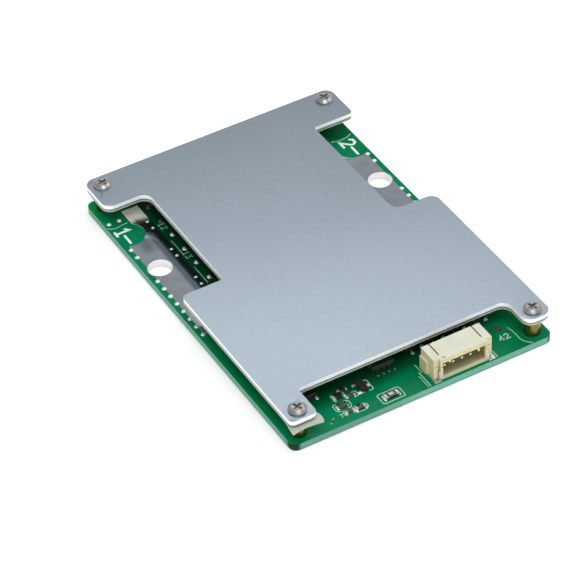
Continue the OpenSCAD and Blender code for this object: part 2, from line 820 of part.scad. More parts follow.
circuit_board();
heat_plate();
insulating_sheet();
plate_screws();
brass_spacers();
left_terminal();
right_terminal();
filled_vias();
lead_joints();
sense_strips();
sense_ends();
header_housing();
header_pins();
header_tabs();
protection_chip();
protection_chip_leads();
small_transistor_bodies();
small_transistor_leads();
resistor_bodies();
resistor_ends();
capacitor_bodies();
capacitor_ends();
test_pad();
for (i = [1:fet_count]) {
    transistor_body(i);
    transistor_frame(i);
}
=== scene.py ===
import bmesh
import bpy
import math
from mathutils import Matrix, Vector


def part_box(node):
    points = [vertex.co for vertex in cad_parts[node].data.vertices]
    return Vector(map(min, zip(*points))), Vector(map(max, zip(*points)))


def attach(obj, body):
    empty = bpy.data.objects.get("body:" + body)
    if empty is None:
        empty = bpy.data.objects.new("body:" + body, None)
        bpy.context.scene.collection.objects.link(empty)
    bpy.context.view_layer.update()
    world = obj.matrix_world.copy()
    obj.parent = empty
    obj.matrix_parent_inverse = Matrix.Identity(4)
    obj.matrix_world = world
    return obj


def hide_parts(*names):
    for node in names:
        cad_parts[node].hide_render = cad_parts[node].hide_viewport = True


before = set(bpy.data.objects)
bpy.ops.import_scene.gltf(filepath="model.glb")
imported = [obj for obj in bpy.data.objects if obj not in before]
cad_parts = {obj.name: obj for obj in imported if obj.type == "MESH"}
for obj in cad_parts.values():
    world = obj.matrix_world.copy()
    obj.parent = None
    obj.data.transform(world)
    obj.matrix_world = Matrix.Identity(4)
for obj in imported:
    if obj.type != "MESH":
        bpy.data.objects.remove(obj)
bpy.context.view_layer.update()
mm = 0.001
scene = bpy.context.scene

boardLow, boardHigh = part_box("circuit_board")
plateLow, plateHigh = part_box("heat_plate")
headerLow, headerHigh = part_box("header_housing")
sheetLow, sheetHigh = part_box("insulating_sheet")
boardMid = (boardLow + boardHigh) / 2
boardTop = boardHigh.z


# a place on the board: millimetres from its middle, and up from its top face
def onBoard(x, y, z=0.0):
    return Vector((boardMid.x + x * mm, boardMid.y + y * mm, boardTop + z * mm))


# helpers for meshes

def addPiece(name, bm, finish, sharpAngle=35):
    mesh = bpy.data.meshes.new(name)
    bmesh.ops.recalc_face_normals(bm, faces=bm.faces)
    bm.to_mesh(mesh)
    bm.free()
    mesh.polygons.foreach_set("use_smooth", [True] * len(mesh.polygons))
    mesh.set_sharp_from_angle(angle=math.radians(sharpAngle))
    piece = bpy.data.objects.new(name, mesh)
    scene.collection.objects.link(piece)
    piece.data.materials.append(finish)
    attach(piece, "root")
    return piece


# a node's own faces with the doubled corners welded
def weldedNode(nodeName):
    bm = bmesh.new()
    bm.from_mesh(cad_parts[nodeName].data)
    bmesh.ops.remove_doubles(bm, verts=bm.verts, dist=0.5e-6)
    clean = bmesh.new()
    corners = [clean.verts.new(v.co) for v in bm.verts]
    bm.verts.index_update()
    for face in bm.faces:
        try:
            clean.faces.new([corners[v.index] for v in face.verts])
        except ValueError:
            pass
    bm.free()
    return clean


# lowest and highest corner of each loose part of a node
def looseParts(nodeName):
    bm = weldedNode(nodeName)
    seen, parts = set(), []
    for start in bm.verts:
        if start in seen:
            continue
        stack, island = [start], []
        seen.add(start)
        while stack:
            v = stack.pop()
            island.append(v.co.copy())
            for e in v.link_edges:
                other = e.other_vert(v)
                if other not in seen:
                    seen.add(other)
                    stack.append(other)
        low = Vector([min(c[i] for c in island) for i in range(3)])
        high = Vector([max(c[i] for c in island) for i in range(3)])
        parts.append((low, high))
    bm.free()
    return parts


# a copy of a node with its edges eased, which stands for the node
def easeEdges(nodeName, width, segments, finish, minAngle=30):
    bm = weldedNode(nodeName)
    bmesh.ops.dissolve_limit(bm, angle_limit=math.radians(0.5), verts=bm.verts, edges=bm.edges)
    sharp = [e for e in bm.edges if len(e.link_faces) == 2 and e.calc_face_angle(0) > math.radians(minAngle)]
    bmesh.ops.bevel(bm, geom=sharp, offset=width * mm, offset_type="OFFSET", segments=segments,
                    profile=0.5, affect="EDGES", clamp_overlap=True)
    piece = addPiece(nodeName + "_eased", bm, finish, 50)
    even = piece.modifiers.new("evenShading", "WEIGHTED_NORMAL")
    even.keep_sharp = True
    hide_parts(nodeName)
    return piece


# a flat printed line: points in millimetres on the board, with mitred corners and round ends
def addRibbon(bm, points, width, closed=False, proud=0.02, sunk=0.03):
    spots = [Vector(p) for p in points]
    count = len(spots)
    left, right = [], []
    for i, spot in enumerate(spots):
        before = spots[i - 1] if (i or closed) else None
        after = spots[(i + 1) % count] if (i < count - 1 or closed) else None
        inward = (spot - before).normalized() if before else (after - spot).normalized()
        outward = (after - spot).normalized() if after else inward
        sideIn, sideOut = Vector((-inward.y, inward.x)), Vector((-outward.y, outward.x))
        mitre = (sideIn + sideOut).normalized()
        reach = width / 2 / max(mitre.dot(sideIn), 0.4)
        left.append(spot + mitre * reach)
        right.append(spot - mitre * reach)
    if closed:
        for rail in (left, right):
            rail.append(rail[0])
    rails = []
    for z in (proud, -sunk):
        for rail in (left, right):
            rails.append([bm.verts.new(onBoard(p.x, p.y, z)) for p in rail])
    topLeft, topRight, lowLeft, lowRight = rails
    if closed:
        for rail in rails:
            bm.verts.remove(rail[-1])
            rail[-1] = rail[0]
    for i in range(len(left) - 1):
        for a, b in ((topLeft, topRight), (topRight, lowRight), (lowRight, lowLeft), (lowLeft, topLeft)):
            bm.faces.new((a[i], a[i + 1], b[i + 1], b[i]))
    if closed:
        return
    for end, step in ((0, 1), (-1, -1)):
        middle = spots[end]
        start = left[end] - middle
        arcs = []
        for z in (proud, -sunk):
            arc = []
            for k in (1, 2, 3):
                turned = start.copy()
                turned.rotate(Matrix.Rotation(step * k * math.pi / 4, 2))
                arc.append(bm.verts.new(onBoard(middle.x + turned.x, middle.y + turned.y, z)))
            arcs.append(arc)
        top = [topLeft[end]] + arcs[0] + [topRight[end]]
        low = [lowLeft[end]] + arcs[1] + [lowRight[end]]
        bm.faces.new(top)
        bm.faces.new(low)
        for k in range(4):
            bm.faces.new((top[k], top[k + 1], low[k + 1], low[k]))


# helpers for finishes

def startFinish(name, colour, roughness, metallic=0.0):
    finish = bpy.data.materials.new(name)
    finish.use_nodes = True
    shader = finish.node_tree.nodes["Principled BSDF"]
    shader.inputs["Base Color"].default_value = (*colour, 1)
    shader.inputs["Roughness"].default_value = roughness
    shader.inputs["Metallic"].default_value = metallic
    return finish, finish.node_tree, shader


def addNode(tree, kind, inputs=None, **settings):
    made = tree.nodes.new("ShaderNode" + kind)
    for key, value in settings.items():
        setattr(made, key, value)
    for key, value in (inputs or {}).items():
        if isinstance(value, bpy.types.NodeSocket):
            tree.links.new(value, made.inputs[key])
        else:
            made.inputs[key].default_value = value
    return made


def calc(tree, operation, a, b, c=None):
    inputs = {0: a, 1: b} if c is None else {0: a, 1: b, 2: c}
    return addNode(tree, "Math", inputs, operation=operation).outputs["Value"]


def objectPlace(tree):
    return addNode(tree, "TexCoord").outputs["Object"]


def stretched(tree, scale):
    return addNode(tree, "Mapping", {"Vector": objectPlace(tree), "Scale": scale}).outputs["Vector"]


def cloudy(tree, place, scale, detail=4, rough=0.55):
    settings = {"Vector": place, "Scale": scale, "Detail": detail, "Roughness": rough}
    return addNode(tree, "TexNoise", settings).outputs["Fac"]


def ramp(tree, fac, stops):
    made = addNode(tree, "ValToRGB", {"Fac": fac})
    band = made.color_ramp
    while len(band.elements) < len(stops):
        band.elements.new(0.5)
    for element, (at, colour) in zip(band.elements, stops):
        element.position = at
        element.color = (*colour, 1)
    return made.outputs["Color"]


def spread(tree, fac, low, high, fromLow=0.3, fromHigh=0.7):
    settings = {"Value": fac, "From Min": fromLow, "From Max": fromHigh, "To Min": low, "To Max": high}
    return addNode(tree, "MapRange", settings).outputs["Result"]


def mixed(tree, fac, first, second, blend="MIX"):
    made = addNode(tree, "Mix", {0: fac, 6: first, 7: second}, data_type="RGBA", blend_type=blend)
    return made.outputs[2]


def bumpy(tree, shader, height, distance, strength=1.0, under=None):
    inputs = {"Height": height, "Distance": distance, "Strength": strength}
    if under is not None:
        inputs["Normal"] = under
    out = addNode(tree, "Bump", inputs).outputs["Normal"]
    tree.links.new(out, shader.inputs["Normal"])
    return out


# 1 on upright faces, 0 on level ones, from the surface's own direction
def uprightness(tree, fromLevel=0.9, toUpright=0.55):
    facing = addNode(tree, "SeparateXYZ", {"Vector": addNode(tree, "NewGeometry").outputs["Normal"]}).outputs["Z"]
    return spread(tree, calc(tree, "ABSOLUTE", facing, 0), 0, 1, fromLevel, toUpright)


def heightIn(tree, low, high):
    z = addNode(tree, "SeparateXYZ", {"Vector": objectPlace(tree)}).outputs["Z"]
    return spread(tree, z, 0, 1, low, high)


# 1 inside a band of millimetres along one axis, with soft borders
def within(tree, axis, middle, band, soft=0.5):
    place = addNode(tree, "SeparateXYZ", {"Vector": objectPlace(tree)}).outputs[axis]
    rise = spread(tree, place, 0, 1, middle + (band[0] - soft) * mm, middle + (band[0] + soft) * mm)
    fall = spread(tree, place, 1, 0, middle + (band[1] - soft) * mm, middle + (band[1] + soft) * mm)
    return calc(tree, "MULTIPLY", rise, fall)


# 1 inside a rectangle of the board
def patch(tree, across, along, soft=0.5):
    inAcross = within(tree, "X", boardMid.x, across, soft)
    return calc(tree, "MULTIPLY", inAcross, within(tree, "Y", boardMid.y, along, soft))


# painted light and shade: a tone multiplied in each zone: across, along, soft border, colour or number
def withPaintedLight(tree, tone, paintedLightAndShadeZones):
    for across, along, soft, lightFactor in paintedLightAndShadeZones:
        lightFactor = grey(lightFactor) if isinstance(lightFactor, float) else lightFactor
        tone = mixed(tree, patch(tree, across, along, soft), tone, mixed(tree, 1.0, tone, (*lightFactor, 1), "MULTIPLY"))
    return tone


def grey(v):
    return (v, v, v)


def shade(colour, k):
    return tuple(min(c * k, 1) for c in colour)


# finishes

# painted light and shade zones: across, along, soft border in millimetres, light factor
maskLook = {"green": (0.001, 0.195, 0.078), "laminate": (0.18, 0.44, 0.345), "gloss": (0.2, 0.3), "specular": 0.04,
            "rougherSide": 0.3,
            # painted shade under the plate in the left notch, behind the front notch and at the right notch's rear;
            # painted light along the left edge, at the left rear corner and at the right front
            "paintedLightAndShadeZones": [((-22.7, -16.5), (-1.0, 40.0), 0.5, (0.34, 0.34, 0.34)),
                      ((-23.5, 17.5), (-37.0, -30.0), 1.5, (0.5, 0.4, 0.3)),
                      ((-32.0, -28.2), (-42.6, -2.0), 0.7, (1.6, 1.5, 1.25)),
                      ((-32.0, -28.4), (34.5, 45.0), 0.7, (2.0, 1.7, 1.1)),
                      ((19.0, 31.0), (33.6, 40.0), 0.8, (0.5, 0.55, 0.5)),
                      ((21.0, 31.0), (-42.0, -33.0), 1.0, (1.0, 1.15, 0.95))],
            # painted shade on the side edges at the two front corners and along the front towards the left
            "paintedSideShadeZones": [((-31.0, -28.4), (-44.0, -41.4), 0.4, 0.12), ((28.9, 31.0), (-44.0, -41.9), 0.4, 0.2),
                          ((-30.0, -6.0), (-45.0, -42.0), 5.0, 0.52)]}


def makeSolderMask():
    green, pale = maskLook["green"], maskLook["laminate"]
    finish, tree, shader = startFinish("solderMask", green, 0.25)
    place = objectPlace(tree)
    blotches = cloudy(tree, place, 220)
    fine = cloudy(tree, place, 2600, 2)
    mask = ramp(tree, blotches, [(0.3, shade(green, 0.86)), (0.5, green), (0.72, shade(green, 1.14))])
    # painted light and shade laid on the mask in zones
    mask = withPaintedLight(tree, mask, maskLook["paintedLightAndShadeZones"])
    weave = cloudy(tree, stretched(tree, (1, 1, 14)), 900, 3)
    laminate = ramp(tree, weave, [(0.3, shade(pale, 0.78)), (0.7, shade(pale, 1.12))])
    rim = ramp(tree, heightIn(tree, boardLow.z, boardHigh.z),
               [(0.0, (0.10, 0.13, 0.12)), (0.14, (1, 1, 1)), (0.9, (1, 1, 1)), (0.97, (0.16, 0.42, 0.24))])
    side = mixed(tree, 1.0, laminate, rim, "MULTIPLY")
    # painted shade on the side edges in zones
    side = withPaintedLight(tree, side, maskLook["paintedSideShadeZones"])
    onSide = uprightness(tree, 0.6, 0.45)
    tree.links.new(mixed(tree, onSide, mask, side), shader.inputs["Base Color"])
    gloss = spread(tree, blotches, *maskLook["gloss"])
    tree.links.new(calc(tree, "MULTIPLY_ADD", onSide, maskLook["rougherSide"], gloss), shader.inputs["Roughness"])
    shader.inputs["Specular IOR Level"].default_value = maskLook["specular"]
    under = bumpy(tree, shader, blotches, 0.00003, 0.5)
    bumpy(tree, shader, fine, 0.000006, 0.4, under)
    return finish


# painted highlight in the cut edge's near-white colour, painted shade in the torn part's dark colour
plateLook = {"satin": (0.355, 0.42, 0.48), "cut": (0.96, 0.97, 0.98), "tornAndShaded": (0.12, 0.13, 0.11),
             "tornAndShadedShare": 0.24, "gloss": (0.36, 0.40), "cutMetal": 0.15, "grain": 0.4}


# satin top and bottom; the upright cut edge, burnished above and torn below, is painted: near white on its upper part
# as a painted highlight, dark on its lower part as painted shade
def makeSatinAluminium():
    satin = plateLook["satin"]
    finish, tree, shader = startFinish("satinAluminium", satin, 0.38, 1.0)
    place = objectPlace(tree)
    broad = cloudy(tree, place, 26, 2)
    grain = cloudy(tree, place, 5200, 3, 0.7)
    specks = cloudy(tree, place, 1400, 2, 0.5)
    mottle = cloudy(tree, place, 900, 3, 0.7)
    scuffs = cloudy(tree, stretched(tree, (1, 0.06, 1)), 900, 4, 0.6)
    flat = ramp(tree, broad, [(0.35, shade(satin, 0.985)), (0.65, shade(satin, 1.015))])
    flat = mixed(tree, 1.0, flat, ramp(tree, mottle, [(0.3, grey(0.93)), (0.7, grey(1))]), "MULTIPLY")
    flat = mixed(tree, 1.0, flat, ramp(tree, specks, [(0.2, grey(0.82)), (0.27, grey(1))]), "MULTIPLY")
    share = plateLook["tornAndShadedShare"]
    # painted highlight above and painted shade below on the upright edge
    edge = ramp(tree, calc(tree, "ADD", heightIn(tree, plateLow.z, plateHigh.z), spread(tree, scuffs, -0.04, 0.04)),
                [(share - 0.04, plateLook["tornAndShaded"]), (share + 0.05, plateLook["cut"])])
    upright = uprightness(tree, 0.985, 0.9)
    tree.links.new(mixed(tree, upright, flat, edge), shader.inputs["Base Color"])
    gloss = calc(tree, "ADD", spread(tree, grain, -0.03, 0.03), spread(tree, broad, *plateLook["gloss"]))
    tree.links.new(gloss, shader.inputs["Roughness"])
    tree.links.new(spread(tree, upright, 1, plateLook["cutMetal"], 0, 1), shader.inputs["Metallic"])
    under = bumpy(tree, shader, grain, 0.00001, plateLook["grain"])
    bumpy(tree, shader, scuffs, 0.000004, 0.3, under)
    return finish


filmLook = {"thin": (0.50, 0.56, 0.47), "thick": (0.66, 0.72, 0.64), "clear": 0.3, "soft": 0.3}


def makeFilm():
    finish, tree, shader = startFinish("paleFilm", filmLook["thick"], 0.4)
    place = objectPlace(tree)
    cloud = cloudy(tree, place, 160)
    tree.links.new(ramp(tree, cloud, [(0.3, filmLook["thin"]), (0.7, filmLook["thick"])]), shader.inputs["Base Color"])
    tree.links.new(spread(tree, cloud, 0.32, 0.46), shader.inputs["Roughness"])
    shader.inputs["Transmission Weight"].default_value = filmLook["clear"]
    shader.inputs["Subsurface Weight"].default_value = filmLook["soft"]
    shader.inputs["Subsurface Scale"].default_value = 0.0006
    bumpy(tree, shader, cloudy(tree, place, 900, 2), 0.00001, 0.5)
    return finish


# plain metals share one recipe: blotched colour, uneven gloss and a fine bump, with painted light and shade in any
# zones given
def makeMetal(name, colour, gloss, blotch=300, grain=2600, metallic=1.0, paintedLightAndShadeZones=(), depth=0.00001, contrast=0.12):
    finish, tree, shader = startFinish(name, colour, gloss[0], metallic)
    place = objectPlace(tree)
    blotches = cloudy(tree, place, blotch)
    fine = cloudy(tree, place, grain, 3, 0.65)
    tones = [(0.3, shade(colour, 1 - contrast)), (0.7, shade(colour, 1 + contrast * 0.6))]
    tree.links.new(withPaintedLight(tree, ramp(tree, blotches, tones), paintedLightAndShadeZones), shader.inputs["Base Color"])
    tree.links.new(spread(tree, blotches, *gloss), shader.inputs["Roughness"])
    under = bumpy(tree, shader, blotches, depth * 3, 0.5)
    bumpy(tree, shader, fine, depth, 0.5, under)
    return finish


# painted reflections on the left land: the cream colour for a patch at its rear end, and darker zones
landLook = {"tin": (0.47, 0.515, 0.575), "reflectionColour": (0.92, 0.91, 0.76), "gloss": (0.05, 0.09),
            "bore": (0.95, 0.95, 0.94), "reflectionFrom": 5.2, "reflectionTo": 3.8,
            "paintedLightAndShadeZones": [((-23.7, -19.0), (-2.0, 31.5), 0.45, (0.33, 0.39, 0.42)),
                      ((-27.0, -23.9), (22.5, 32.0), 1.2, (0.55, 0.60, 0.62))]}


# bright tinned lands, with painted reflections on the left one: darker zones, and a pale cream patch on its rear end
# drawn dull and rough
def makeTinnedLand():
    finish, tree, shader = startFinish("tinnedLand", landLook["tin"], 0.12, 1.0)
    place = objectPlace(tree)
    blotches = cloudy(tree, place, 420)
    streaks = cloudy(tree, stretched(tree, (1, 0.3, 1)), 700, 4, 0.7)
    tin = ramp(tree, blotches, [(0.3, shade(landLook["tin"], 0.88)), (0.7, shade(landLook["tin"], 1.06))])
    axes = addNode(tree, "SeparateXYZ", {"Vector": place})
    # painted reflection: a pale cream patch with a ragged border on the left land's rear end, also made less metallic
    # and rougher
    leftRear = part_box("left_terminal")[1].y
    farLeft = calc(tree, "LESS_THAN", axes.outputs["X"], boardMid.x)
    ragged = calc(tree, "ADD", axes.outputs["Y"], spread(tree, streaks, -0.0006, 0.0006))
    rear = spread(tree, ragged, 0, 1, leftRear - landLook["reflectionFrom"] * mm, leftRear - landLook["reflectionTo"] * mm)
    reflectionMask = calc(tree, "MULTIPLY", farLeft, rear)
    # painted reflection: darker zones on the left land
    tin = withPaintedLight(tree, tin, landLook["paintedLightAndShadeZones"])
    tin = mixed(tree, uprightness(tree), tin, (*landLook["bore"], 1))
    reflectionPatch = ramp(tree, streaks, [(0.3, landLook["reflectionColour"]), (0.7, shade(landLook["reflectionColour"], 1.1))])
    tree.links.new(mixed(tree, reflectionMask, tin, reflectionPatch), shader.inputs["Base Color"])
    whole = calc(tree, "MULTIPLY_ADD", uprightness(tree), -0.7, 1.0)
    tree.links.new(calc(tree, "MULTIPLY_ADD", reflectionMask, -0.7, whole), shader.inputs["Metallic"])
    gloss = spread(tree, blotches, *landLook["gloss"])
    tree.links.new(calc(tree, "MULTIPLY_ADD", reflectionMask, 0.4, gloss), shader.inputs["Roughness"])
    under = bumpy(tree, shader, blotches, 0.00003, 0.5)
    bumpy(tree, shader, streaks, 0.000012, 0.5, under)
    return finish


# moulded parts: fine texture, slightly uneven tone at random, painted shade as a deeper tone on upright faces, and
# painted shade inside a mouth when one is given
def makeMoulded(name, colour, gloss, upright=None, soft=0.0, depth=0.00001, coat=0.0, mouthShade=None):
    finish, tree, shader = startFinish(name, colour, gloss[0])
    place = objectPlace(tree)
    blotches = cloudy(tree, place, 300)
    fine = cloudy(tree, place, 5200, 3, 0.6)
    tone = ramp(tree, blotches, [(0.3, shade(colour, 0.93)), (0.7, shade(colour, 1.06))])
    if upright:
        # painted shade: upright faces take a deeper copy of the colour
        shadedSides = ramp(tree, blotches, [(0.3, shade(upright, 0.92)), (0.7, shade(upright, 1.06))])
        tone = mixed(tree, uprightness(tree), tone, shadedSides)
    # painted shade: a darker tone multiplied inside the mouth
    if mouthShade:
        hollow = within(tree, "X", 0, mouthShade["across"], 0.1)
        for axis in "YZ":
            hollow = calc(tree, "MULTIPLY", hollow, within(tree, axis, 0, mouthShade[axis], 0.15))
        tone = mixed(tree, hollow, tone, mixed(tree, 1.0, tone, (*mouthShade["tone"], 1), "MULTIPLY"))
    tree.links.new(tone, shader.inputs["Base Color"])
    tree.links.new(spread(tree, blotches, *gloss), shader.inputs["Roughness"])
    shader.inputs["Subsurface Weight"].default_value = soft
    shader.inputs["Subsurface Scale"].default_value = 0.0008
    shader.inputs["Coat Weight"].default_value = coat
    shader.inputs["Coat Roughness"].default_value = 0.1
    bumpy(tree, shader, fine, depth, 0.6)
    return finish


inkLook = {"bold": ((0.55, 0.78, 0.67), (0.86, 0.96, 0.91)),
           "thin": ((0.16, 0.46, 0.30), (0.52, 0.80, 0.67))}


def makeInk(name, worn, full):
    finish, tree, shader = startFinish(name, full, 0.5)
    place = objectPlace(tree)
    cover = cloudy(tree, place, 2400)
    tree.links.new(ramp(tree, cover, [(0.3, worn), (0.55, full)]), shader.inputs["Base Color"])
    tree.links.new(spread(tree, cover, 0.42, 0.6), shader.inputs["Roughness"])
    bumpy(tree, shader, cloudy(tree, place, 5000), 0.00001, 0.5)
    return finish


# painted shade inside the header's mouth: its box in millimetres from the frame's zero, and the tone multiplied there
headerMouthShade = {"across": (headerLow.x / mm + 1.5, headerHigh.x / mm - 1.5),
               "Y": (headerLow.y / mm + 0.5, headerHigh.y / mm - 0.4),
               "Z": (headerLow.z / mm + 0.5, headerHigh.z / mm - 0.5), "tone": (0.44, 0.40, 0.17)}

finishes = {
    "solder_mask": makeSolderMask(),
    "satin_aluminium": makeSatinAluminium(),
    "white_film": makeFilm(),
    "nickel": makeMetal("nickelScrew", (0.38, 0.38, 0.36), (0.36, 0.48)),
    # brass, drawn dark as painted shade for the spacers standing in shade under the plate
    "brass": makeMetal("turnedBrass", (0.24, 0.20, 0.05), (0.22, 0.34)),
    "tinned_copper": makeTinnedLand(),
    # painted shade: solder domes under the plate in the left notch are darkened in zones
    "solder": makeMetal("solderDomes", (0.90, 0.94, 0.92), (0.3, 0.44), 900, 4000, metallic=0.55,
                        paintedLightAndShadeZones=[((-21.0, -15.0), (25.0, 36.0), 0.5, 0.12), ((-21.0, -15.0), (-2.0, 24.0), 0.5, 0.8)]),
    "alloy_strip": makeMetal("shuntAlloy", (0.30, 0.28, 0.25), (0.4, 0.55)),
    "copper": makeMetal("bareCopper", (0.80, 0.42, 0.28), (0.28, 0.42)),
    # painted shade: a deeper yellow on the header's upright faces and a dark yellow inside its mouth
    "ivory_nylon": makeMoulded("ivoryNylon", (0.66, 0.67, 0.545), (0.34, 0.46), (0.64, 0.58, 0.33), 0.15,
                               mouthShade=headerMouthShade),
    "contact_metal": makeMetal("contactMetal", (0.86, 0.80, 0.62), (0.15, 0.28)),
    # painted shade: leads under the plate's left notch edge are darkened in a zone
    "tinned_steel": makeMetal("tinnedLead", (0.50, 0.53, 0.55), (0.26, 0.4),
                              paintedLightAndShadeZones=[((-21.0, -15.0), (-40.0, 36.0), 0.5, 0.3)]),
    "black_epoxy": makeMoulded("blackEpoxy", (0.014, 0.014, 0.018), (0.42, 0.58)),
    "resistor_glaze": makeMoulded("resistorGlaze", (0.012, 0.014, 0.016), (0.2, 0.32), coat=0.2),
    "brown_ceramic": makeMoulded("brownCeramic", (0.07, 0.075, 0.05), (0.3, 0.42)),
    "dull_tin": makeMetal("dullTin", (0.19, 0.29, 0.20), (0.4, 0.55)),
}
# painted shade: the chip's leads and fillets are drawn dark green-grey and its body dark green, as they lie in shade
# under the plate's front edge
shadedLead = makeMetal("shadedLead", (0.10, 0.15, 0.12), (0.35, 0.5))
chipBody = makeMoulded("chipBody", (0.022, 0.040, 0.026), (0.42, 0.58))
whiteInk = makeInk("whiteInk", *inkLook["bold"])
paleInk = makeInk("paleInk", *inkLook["thin"])

slotOf = {}
for nodeName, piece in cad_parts.items():
    slotOf[nodeName] = piece.material_slots[0].material.name.split(".")[0]
    piece.material_slots[0].material = finishes[slotOf[nodeName]]
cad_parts["protection_chip_leads"].material_slots[0].material = shadedLead
print("finishes ready:", len(finishes) + 4)


# pieces that stand for nodes, with eased edges: width in mm, segments

easing = {
    "heat_plate": (0.16, 3), "header_housing": (0.05, 2), "plate_screws": (0.09, 3),
    "protection_chip": (0.1, 2), "small_transistor_bodies": (0.08, 2), "resistor_bodies": (0.03, 1),
    "resistor_ends": (0.06, 2), "capacitor_bodies": (0.05, 2), "capacitor_ends": (0.07, 2),
    "header_pins": (0.06, 2), "header_tabs": (0.04, 2),
}
for nodeName, (width, segments) in easing.items():
    finish = chipBody if nodeName == "protection_chip" else finishes[slotOf[nodeName]]
    easeEdges(nodeName, width, segments, finish)
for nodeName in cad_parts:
    if nodeName.startswith("transistor_body"):
        easeEdges(nodeName, 0.15, 2, finishes["black_epoxy"])
print("eased pieces ready:", len(easing) + 12)


# the film, with its free corners hanging at the front left ear

sheetLook = {"cut": 0.4, "hang": 0.115, "front": 0.3, "power": 2.0, "start": -40.6, "full": -42.8,
             "reach": -21.5, "curl": 1.4}


def hangSheet():
    bm = weldedNode("insulating_sheet")
    ear = min(looseParts("brass_spacers"), key=lambda part: part[0].x + part[0].y)
    post = (ear[0] + ear[1]) / 2
    radius = (ear[1].x - ear[0].x) / 2
    cut = sheetLook["cut"] * mm
    x, lastX = sheetLow.x + cut, boardMid.x + sheetLook["reach"] * mm
    while x < lastX:
        geometry = list(bm.verts) + list(bm.edges) + list(bm.faces)
        bmesh.ops.bisect_plane(bm, geom=geometry, plane_co=(x, 0, 0), plane_no=(1, 0, 0), dist=1e-7)
        x += cut
    y, lastY = sheetLow.y + cut, boardMid.y + sheetLook["start"] * mm + cut
    while y < lastY:
        geometry = list(bm.verts) + list(bm.edges) + list(bm.faces)
        bmesh.ops.bisect_plane(bm, geom=geometry, plane_co=(0, y, 0), plane_no=(0, 1, 0), dist=1e-7)
        y += cut
    start, full = (boardMid.y + sheetLook[key] * mm for key in ("start", "full"))
    for v in bm.verts:
        if v.co.x > lastX or v.co.y > start:
            continue
        free = max(math.hypot(v.co.x - post.x, v.co.y - post.y) - radius, 0) / mm
        blend = min((start - v.co.y) / (start - full), 1)
        eased = blend * blend * (3 - 2 * blend)
        v.co.z -= (sheetLook["front"] + sheetLook["hang"] * free ** sheetLook["power"]) * eased * mm
        inner = max(v.co.x - post.x, 0) / (lastX - post.x)
        v.co.x += sheetLook["curl"] * min(inner * 1.6, 1) ** 2 * eased * mm
    piece = addPiece("insulating_sheet_hung", bm, finishes["white_film"], 30)
    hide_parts("insulating_sheet")


hangSheet()
print("film ready")


# solder pads under the small parts, rising to each end as a fillet

filletLook = {
    "chip": {"reach": 0.30, "side": 0.06, "rise": 0.60, "foot": 0.03},
    "lead": {"reach": 0.40, "side": 0.16, "rise": 0.30, "foot": 0.03},
    "pin": {"reach": 0.30, "side": 0.05, "rise": 0.25, "foot": 0.03},
}
# how a fillet falls away from the end, and how it rounds off to its sides
filletFall = ((-0.6, 1.0, 1.0), (0.0, 1.0, 1.0), (0.3, 0.5, 1.0),
              (0.65, 0.18, 0.97), (0.9, 0.05, 0.88), (1.0, 0.0, 0.75))
filletRound = ((-1, 0.0), (-0.82, 0.75), (0, 1.0), (0.82, 0.75), (1, 0.0))


def addFillet(bm, low, high, outward, look, tall):
    across = Vector((-outward.y, outward.x, 0))
    mid, half = (low + high) / 2, (high - low) / 2
    faceAt = abs(half.x * outward.x) + abs(half.y * outward.y)
    wide = abs(half.x * across.x) + abs(half.y * across.y) + look["side"] * mm
    reach, foot = look["reach"] * mm, look["foot"] * mm
    rows = []
    for t, rise, narrow in filletFall:
        row = []
        for s, hold in filletRound:
            spot = mid + outward * (faceAt + reach * t) + across * (wide * s * narrow)
            spot.z = boardTop + foot + tall * look["rise"] * rise * hold
            row.append(bm.verts.new(spot))
        rows.append(row)
    base = []
    for row in rows:
        base.append([bm.verts.new(Vector((v.co.x, v.co.y, boardTop - 0.02 * mm))) for v in row])
    last, side = len(rows) - 1, len(rows[0]) - 1
    for i in range(last):
        for j in range(side):
            bm.faces.new((rows[i][j], rows[i][j + 1], rows[i + 1][j + 1], rows[i + 1][j]))
            bm.faces.new((base[i][j], base[i + 1][j], base[i + 1][j + 1], base[i][j + 1]))
        for j in (0, side):
            bm.faces.new((rows[i][j], rows[i + 1][j], base[i + 1][j], base[i][j]))
    for i in (0, last):
        for j in range(side):
            bm.faces.new((rows[i][j], rows[i][j + 1], base[i][j + 1], base[i][j]))


def facingOut(inner, outer):
    step = outer - inner
    if abs(step.x) > abs(step.y):
        return Vector((math.copysign(1, step.x), 0, 0))
    return Vector((0, math.copysign(1, step.y), 0))


def solderParts(name, endNode, bodyNode, look, finish):
    bodies = [(low + high) / 2 for low, high in looseParts(bodyNode)]
    bm = bmesh.new()
    ends = looseParts(endNode)
    for low, high in ends:
        mid = (low + high) / 2
        body = min(bodies, key=lambda b: (b.xy - mid.xy).length)
        addFillet(bm, low, high, facingOut(body, mid), look, high.z - boardTop)
    addPiece(name, bm, finish, 60)
    return len(ends)


soldering = {  # end node, body node, look, finish
    "resistor_fillets": ("resistor_ends", "resistor_bodies", "chip", finishes["solder"]),
    "capacitor_fillets": ("capacitor_ends", "capacitor_bodies", "chip", finishes["solder"]),
    "transistor_fillets": ("small_transistor_leads", "small_transistor_bodies", "lead", finishes["solder"]),
    "chip_fillets": ("protection_chip_leads", "protection_chip", "pin", shadedLead),
}
for name, (endNode, bodyNode, look, finish) in soldering.items():
    print(name, "ready:", solderParts(name, endNode, bodyNode, filletLook[look], finish))


# printed lines and numbers on the board, in millimetres from its middle

